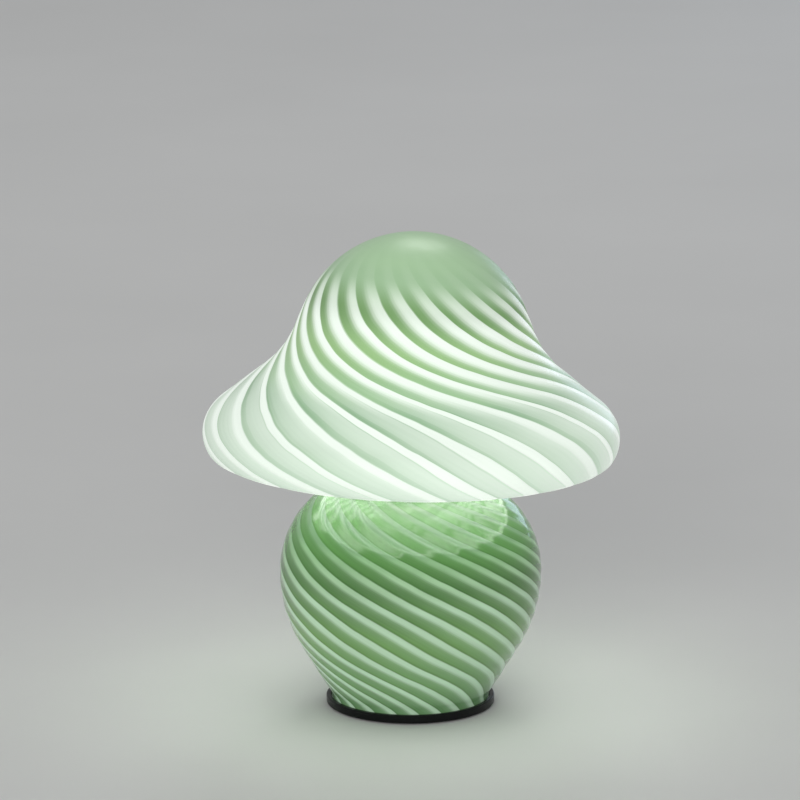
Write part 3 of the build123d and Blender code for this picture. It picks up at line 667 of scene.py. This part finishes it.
# Plain finishes: colour pair, roughness span, metal share, scales of cloud and grain, and the grain's depth
plainLooks = {
    "black_metal": {"colours": ((0.002, 0.002, 0.0025), (0.004, 0.004, 0.0045)), "roughness": (0.3, 0.4),
                    "cloud": 90.0, "grain": 900.0, "depth": 0.00001, "shine": 0.2},
    "white_metal": {"colours": ((0.74, 0.75, 0.73), (0.82, 0.83, 0.81)), "roughness": (0.35, 0.5),
                    "cloud": 60.0, "grain": 1400.0, "depth": 0.00005},
    "zinc_steel": {"colours": ((0.50, 0.51, 0.53), (0.64, 0.65, 0.66)), "roughness": (0.29, 0.45),
                   "metal": 1.0, "cloud": 220.0, "grain": 1800.0, "depth": 0.00003},
    "brass": {"colours": ((0.55, 0.38, 0.13), (0.72, 0.53, 0.22)), "roughness": (0.29, 0.4),
              "metal": 1.0, "cloud": 260.0, "grain": 2000.0, "depth": 0.00002},
    "nickel": {"colours": ((0.58, 0.56, 0.52), (0.70, 0.68, 0.64)), "roughness": (0.29, 0.36),
               "metal": 1.0, "cloud": 200.0, "grain": 1800.0, "depth": 0.00002},
    "solder": {"colours": ((0.46, 0.46, 0.47), (0.60, 0.60, 0.61)), "roughness": (0.3, 0.5),
               "metal": 1.0, "cloud": 500.0, "grain": 2400.0, "depth": 0.00005},
    "felt": {"colours": ((0.012, 0.012, 0.013), (0.032, 0.032, 0.033)), "roughness": (0.85, 0.98),
             "cloud": 700.0, "grain": 3200.0, "depth": 0.0003, "sheen": 0.5},
    "soft_rubber": {"colours": ((0.62, 0.64, 0.62), (0.72, 0.74, 0.72)), "roughness": (0.45, 0.6),
                    "cloud": 80.0, "grain": 1500.0, "depth": 0.00003},
    "black_rubber": {"colours": ((0.010, 0.010, 0.010), (0.022, 0.022, 0.022)), "roughness": (0.5, 0.7),
                     "cloud": 160.0, "grain": 1700.0, "depth": 0.00006},
    "clear_nylon": {"colours": ((0.58, 0.58, 0.52), (0.70, 0.70, 0.64)), "roughness": (0.3, 0.45),
                    "cloud": 120.0, "grain": 1300.0, "depth": 0.00003},
    "holder_plastic": {"colours": ((0.70, 0.70, 0.68), (0.78, 0.78, 0.76)), "roughness": (0.32, 0.46),
                       "cloud": 70.0, "grain": 1600.0, "depth": 0.00003},
    "holder_ceramic": {"colours": ((0.66, 0.63, 0.55), (0.76, 0.73, 0.66)), "roughness": (0.6, 0.8),
                       "cloud": 240.0, "grain": 2200.0, "depth": 0.00006},
    "white_plastic": {"colours": ((0.74, 0.74, 0.73), (0.80, 0.80, 0.79)), "roughness": (0.34, 0.46),
                      "cloud": 60.0, "grain": 1500.0, "depth": 0.00003},
    "opal_plastic": {"colours": ((0.80, 0.80, 0.78), (0.86, 0.86, 0.84)), "roughness": (0.35, 0.45),
                     "cloud": 60.0, "grain": 1500.0, "depth": 0.00003,
                     "glow": (1.0, 0.97, 0.90), "power": (1.1, 2.5), "glowSpan": (0.136, 0.158)},
    "black_plastic": {"colours": ((0.006, 0.006, 0.007), (0.014, 0.014, 0.015)), "roughness": (0.12, 0.25),
                      "cloud": 300.0, "grain": 2000.0, "depth": 0.00002},
    "brown_insulation": {"colours": ((0.09, 0.038, 0.014), (0.13, 0.058, 0.022)), "roughness": (0.35, 0.5),
                         "cloud": 180.0, "grain": 1800.0, "depth": 0.00002},
    "blue_insulation": {"colours": ((0.014, 0.06, 0.22), (0.024, 0.10, 0.32)), "roughness": (0.35, 0.5),
                        "cloud": 180.0, "grain": 1800.0, "depth": 0.00002},
    "board": {"colours": ((0.68, 0.69, 0.68), (0.76, 0.77, 0.76)), "roughness": (0.3, 0.4),
              "cloud": 400.0, "grain": 1500.0, "depth": 0.00003},
    "driver_board": {"colours": ((0.02, 0.10, 0.035), (0.04, 0.18, 0.06)), "roughness": (0.3, 0.4),
                     "cloud": 420.0, "grain": 1500.0, "depth": 0.00004},
    "led_phosphor": {"colours": ((0.74, 0.56, 0.08), (0.84, 0.66, 0.14)), "roughness": (0.4, 0.55),
                     "cloud": 900.0, "grain": 3000.0, "depth": 0.00002,
                     "glow": (1.0, 0.88, 0.55), "power": (1.3, 1.6), "glowSpan": (0.139, 0.140)},
}
polishScale = 2.3  # how much finer the cloud of the roughness is than that of the colour


# A plain finish: two colours clouded by noise, roughness varied by a finer cloud, and a fine grain as bump.
# A glow climbs with height over its span.
def makePlainFinish(name, p):
    finish, tree, shader = newFinish(name)
    here = place(tree)
    cloud = span(tree, noise(tree, here, p["cloud"], cloudDetail), *noiseCore)
    tree.links.new(mixed(tree, cloud, *p["colours"]), shader.inputs["Base Color"])
    polish = span(tree, noise(tree, here, polishScale * p["cloud"]), *noiseCore, *p["roughness"])
    tree.links.new(polish, shader.inputs["Roughness"])
    shader.inputs["Metallic"].default_value = p.get("metal", 0.0)
    shader.inputs["Specular IOR Level"].default_value = p.get("shine", 0.5)
    shader.inputs["Sheen Weight"].default_value = p.get("sheen", 0.0)
    if "glow" in p:
        shader.inputs["Emission Color"].default_value = (*p["glow"], 1.0)
        power = span(tree, partsOf(tree, here)[2], *p["glowSpan"], *p["power"])
        tree.links.new(power, shader.inputs["Emission Strength"])
    bump(tree, shader, noise(tree, here, p["grain"]), p["depth"])
    return finish


slotOf = {row["node"]: row["material_slot"] for row in frame["record"]["subparts"]}
finishes = {name: makePlainFinish(name + "_finish", look) for name, look in plainLooks.items()}
for node, slot in slotOf.items():
    if slot in finishes:
        frame["nodes"][node].material_slots[0].material = finishes[slot]
print("plain finishes made:", len(finishes))

# Turned pieces that stand for nodes: a loop of (radius, height, rounding), down the outside and up the
# inside, with heights from the node's foot. A thread runs round the rows that are at least "from" out,
# between its two heights, and fades in and out along "run"; one with a depth below nothing is cut in.
turnedPieces = {
    "neck_ring": {
        "node": "neck_gasket", "body": "lamp", "spacing": 0.5, "columns": 96,
        "loop": [(24.7, 1.89, 0.4), (24.7, 0.06, 0.35), (20.5, 0.62, 0.3), (20.5, 1.89, 0.4)],
    },
    "foot_ring": {
        "node": "base_gasket", "body": "lamp", "spacing": 0.5, "columns": 128,
        "loop": [(36.0, 0.8, 0.3), (36.0, 0.0, 0.3), (33.0, 0.0, 0.3), (33.0, 0.8, 0.3)],
    },
    "cap_rest": {
        "node": "shade_pad", "body": "shade_pad", "spacing": 0.5, "columns": 144,
        "loop": [(37.16, 7.2, 0.7), (39.87, 4.07, 1.2), (39.87, 0.0, 0.8), (34.58, 0.0, 0.6),
                 (34.58, 1.3, 0.4), (37.77, 1.3, 0.2), (37.77, 2.9, 0.2), (34.58, 2.9, 0.4),
                 (34.58, 7.2, 0.9)],
    },
    "inlet_grommet": {
        "node": "cord_grommet", "body": "lamp", "spacing": 0.4, "columns": 72,
        "loop": [(7.0, 1.8, 0.8), (7.0, 0.0, 0.3), (5.0, 0.0, 0.3), (5.0, -3.7, 0.3),
                 (7.0, -3.7, 0.3), (7.0, -5.5, 0.8), (2.9, -5.5, 0.5), (2.9, 1.8, 0.7)],
        "at": baseShape["inletAt"], "axis": baseShape["inletAxis"],
    },
    "bulb_screw": {
        "node": "bulb_cap", "body": "bulb", "spacing": 0.25, "columns": 96,
        "loop": [(6.45, 15.7, 0.1), (6.45, 0.0, 0.35), (4.4, 0.0, 0.2),
                 (4.4, 1.5, 0.2), (5.9, 1.5, 0.2), (5.9, 15.7, 0.1)],
        "thread": {"pitch": 2.82, "depth": 0.25, "from": 6.3, "heights": (0.3, 11.9), "run": 1.2},
    },
    "screw_shell": {
        "node": "lampholder_screw_shell", "body": "lamp", "spacing": 0.25, "columns": 96,
        "loop": [(7.05, 19.0, 0.15), (7.05, 0.0, 0.15), (6.65, 0.0, 0.15), (6.65, 19.0, 0.15)],
        "thread": {"pitch": 2.82, "depth": 0.25, "from": 6.0, "heights": (1.0, 30.0), "run": 1.5},
    },
    "holder_skirt": {
        "node": "lampholder_shell", "body": "lamp", "spacing": 0.25, "columns": 128,
        "loop": [(13.5, 31.0, 0.6), (13.5, 0.0, 0.6), (5.05, 0.0, 0.2),
                 (5.05, 7.0, 0.2), (11.0, 7.0, 0.2), (11.0, 31.0, 0.6)],
        "thread": {"pitch": 2.5, "depth": -0.28, "from": 13.2, "heights": (16.0, 30.2), "run": 1.0},
    },
}


# A loop with rounded corners. The round at a corner starts and ends radius / tan(half angle) from it, and
# turns about the point on the bisector that is radius / sin(half angle) away; the straights between are
# divided evenly.
def roundedLoop(loop, spacing, roundPoints=6):
    corner = np.array([row[:2] for row in loop], float)
    radius = np.array([row[2] for row in loop])[:, None]
    back = np.roll(corner, 1, 0) - corner
    ahead = np.roll(corner, -1, 0) - corner
    back /= np.linalg.norm(back, axis=1)[:, None]
    ahead /= np.linalg.norm(ahead, axis=1)[:, None]
    half = np.arccos(np.clip((back * ahead).sum(1), -1, 1))[:, None] / 2
    start, end = corner + back * radius / np.tan(half), corner + ahead * radius / np.tan(half)
    middle = (back + ahead) / np.linalg.norm(back + ahead, axis=1)[:, None]
    centre = corner + middle * radius / np.sin(half)
    t = np.linspace(0, 1, roundPoints)[None, :, None]
    spread = np.pi - 2 * half[:, :, None]
    first, last = (start - centre)[:, None], (end - centre)[:, None]
    rounds = (first * np.sin((1 - t) * spread) + last * np.sin(t * spread)) / np.sin(spread)
    rounds = centre[:, None] + rounds
    rows = []
    for arc, following in zip(rounds, np.roll(start, -1, 0)):
        count = max(2, int(np.ceil(np.linalg.norm(following - arc[-1]) / spacing)))
        steps = np.linspace(0, 1, count, endpoint=False)[1:, None]
        rows += [arc, arc[-1] + steps * (following - arc[-1])]
    return np.concatenate(rows).T


# A new piece takes the place, the body and the finish of its node
def takeNode(made, p):
    slot = slotOf[p["node"]]
    made.data.materials.append(finishes[slot])
    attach(made, p["body"])
    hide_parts(p["node"])
    print("turned piece:", made.name, len(made.data.polygons), "faces")


# A turned piece: the loop carried round the axis. A thread moves its radius by
# depth * (1 + cos(2 pi height / pitch - phi)).
def makeTurned(name, p):
    foot = 0.0 if "axis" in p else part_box(p["node"])[0].z / mm
    r, z = roundedLoop(p["loop"], p["spacing"])
    turn = ringAngles(p["columns"])
    reach = r[:, None]
    height = (z + foot)[:, None]
    if "thread" in p:
        cut = p["thread"]
        low, high = cut["heights"]
        fade = easedStep(z, low, low + cut["run"]) * (1 - easedStep(z, high - cut["run"], high))
        fade = fade * (r >= cut["from"])
        wave = 1 + np.cos(2 * np.pi * height / cut["pitch"] - turn)
        reach = reach + cut["depth"] * fade[:, None] * wave
    points = aroundAxis(reach, turn, height)
    if "axis" in p:
        points = standOn(points, p["at"], p["axis"])
    takeNode(gridSkin(name, points), p)


# The felt under the foot. An edge wave is (size, count round, start), and a dent (count out, count round).
feltFoot = {
    "node": "foot_pad", "body": "lamp", "radius": 36.5, "thickness": 1.2, "round": 0.45, "roundSteps": 4,
    "rings": 40, "columns": 240, "waves": ((0.05, 9, 0.4), (0.05, 31, 1.9), (0.04, 67, 0.7)), "waveHold": 8,
    "uneven": 0.05, "dents": ((1.1, 2), (0.7, 9)), "flatMiddle": 8.0,
}


# A disc with a rounded edge. The edge wanders by a sum of sines times (r / radius)^waveHold, and the faces
# dent in by uneven * (1 + sin(out r + round phi) * sin(out r + round phi)) / 2, with the two dents' counts.
def makeFelt(name, p):
    turn = ringAngles(p["columns"])
    inner = p["radius"] - p["round"]
    spread = np.linspace(0, inner, p["rings"] + 1)[1:]
    bend = np.linspace(0, np.pi / 2, p["roundSteps"] + 1)[1:]
    upper = inner + p["round"] * np.sin(bend)
    lower = inner + p["round"] * np.cos(bend[:-1])
    r = np.concatenate([spread, upper, lower, spread[::-1]])
    drop = p["round"] * (1 - np.cos(bend))
    z = np.concatenate([p["thickness"] + 0 * spread, p["thickness"] - drop, drop[::-1][1:], 0 * spread])
    edge = sum(size * np.sin(count * turn + start) for size, count, start in p["waves"])
    reach = r[:, None] + (r / p["radius"])[:, None] ** p["waveHold"] * edge
    first, second = [np.sin(reach * out + count * turn) for out, count in p["dents"]]
    dent = p["uneven"] * (1 + first * second) / 2
    under = (z < p["thickness"] / 2)[:, None]
    fade = easedStep(r, 0, p["flatMiddle"])[:, None] * (r <= inner)[:, None]
    height = z[:, None] + np.where(under, 1, -1) * dent * fade
    takeNode(gridSkin(name, aroundAxis(reach, turn, height), (p["thickness"], 0.0)), p)


for name, piece in turnedPieces.items():
    makeTurned(name, piece)
makeFelt("foot_felt", feltFoot)

# Stage: pale floor, soft light, long-lens camera at the photo's angle
stageLook = {
    "floorSize": 8.0, "floorCells": 8, "floorColours": ((0.66, 0.66, 0.65), (0.71, 0.71, 0.70)),
    "floorCloud": 6.0, "floorRoughness": (0.55, 0.7), "floorPolish": 9.0,
    "sky": (0.42, 0.425, 0.43), "skyPower": 1.0,
}
lamps = {
    "key_panel": {"at": (-0.56, -3.44, 1.2), "aim": (0, 0, 0.06), "size": (1.92, 1.44), "power": 52.5,
                  "tint": (1.0, 0.99, 0.97), "mirrored": False},
    "cool_panel": {"at": (0.8, 1.85, 0.3), "aim": (0, 0, 0.12), "size": (0.6, 0.5), "power": 1.2,
                   "tint": (0.62, 0.78, 1.0), "mirrored": True},
    "back_panel": {"at": (0.1, 1.3, 1.4), "aim": (0, 0, 0.15), "size": (0.6, 0.6), "power": 3.5,
                   "tint": (1.0, 1.0, 1.0), "mirrored": True},
}
view = {
    "distance": 4.0, "elevation": 14.9, "target": (0, 0, 0.1), "pixel": (410.5, 490.6), "perMetre": 2195.0,
    "image": 800.0, "sensor": 36.0,
}


# The floor is a flat grid with a faint cloudy tone: point row * (cells + 1) + column
def makeFloor(p):
    cells = p["floorCells"]
    edge = np.linspace(-p["floorSize"] / 2, p["floorSize"] / 2, cells + 1)
    x, y = np.meshgrid(edge, edge, indexing="ij")
    points = np.stack([x, y, 0 * x], -1).reshape(-1, 3)
    i, j = np.meshgrid(np.arange(cells), np.arange(cells), indexing="ij")
    near = i * (cells + 1) + j
    far = near + cells + 1
    faces = np.stack([near, far, far + 1, near + 1], -1).reshape(-1, 4)
    mesh = bpy.data.meshes.new("floor")
    mesh.from_pydata(points.tolist(), [], faces.tolist())
    floor = bpy.data.objects.new("floor", mesh)
    bpy.context.scene.collection.objects.link(floor)
    finish, tree, shader = newFinish("pale_floor")
    here = place(tree)
    cloud = noise(tree, here, p["floorCloud"], cloudDetail)
    tree.links.new(mixed(tree, cloud, *p["floorColours"]), shader.inputs["Base Color"])
    polish = span(tree, noise(tree, here, p["floorPolish"]), *noiseCore, *p["floorRoughness"])
    tree.links.new(polish, shader.inputs["Roughness"])
    mesh.materials.append(finish)


# A soft panel lamp, turned so that it faces its aim
def makePanel(name, p):
    light = bpy.data.lights.new(name, "AREA")
    light.shape = "RECTANGLE"
    light.size, light.size_y = p["size"]
    light.energy = p["power"]
    light.color = p["tint"]
    panel = bpy.data.objects.new(name, light)
    panel.location = p["at"]
    panel.rotation_euler = (Vector(p["aim"]) - Vector(p["at"])).to_track_quat("-Z", "Y").to_euler()
    panel.visible_camera = False
    panel.visible_glossy = p["mirrored"]
    bpy.context.scene.collection.objects.link(panel)


# The camera stands back along the view's slope and aims at the middle of the picture, which is the target
# moved by the pixels between it and the middle
def makeCamera(p):
    a = np.radians(p["elevation"])
    target = Vector(p["target"])
    camera = bpy.data.objects.new("camera", bpy.data.cameras.new("camera"))
    camera.location = target + p["distance"] * Vector((0, -np.cos(a), np.sin(a)))
    right = (p["image"] / 2 - p["pixel"][0]) / p["perMetre"]
    up = (p["pixel"][1] - p["image"] / 2) / p["perMetre"]
    aim = target + Vector((right, up * np.sin(a), up * np.cos(a)))
    camera.rotation_euler = (aim - camera.location).to_track_quat("-Z", "Y").to_euler()
    camera.data.sensor_width = p["sensor"]
    camera.data.lens = p["sensor"] * p["distance"] * p["perMetre"] / p["image"]
    bpy.context.scene.collection.objects.link(camera)
    bpy.context.scene.camera = camera


# An even sky: one colour at one strength all round
def makeSky(p):
    world = bpy.data.worlds.new("studio")
    world.use_nodes = True
    sky = world.node_tree.nodes["Background"]
    sky.inputs["Color"].default_value = (*p["sky"], 1.0)
    sky.inputs["Strength"].default_value = p["skyPower"]
    bpy.context.scene.world = world


makeFloor(stageLook)
for name, lamp in lamps.items():
    makePanel(name, lamp)
makeCamera(view)
makeSky(stageLook)
bpy.context.scene.view_settings.view_transform = "Standard"
print("stage set")
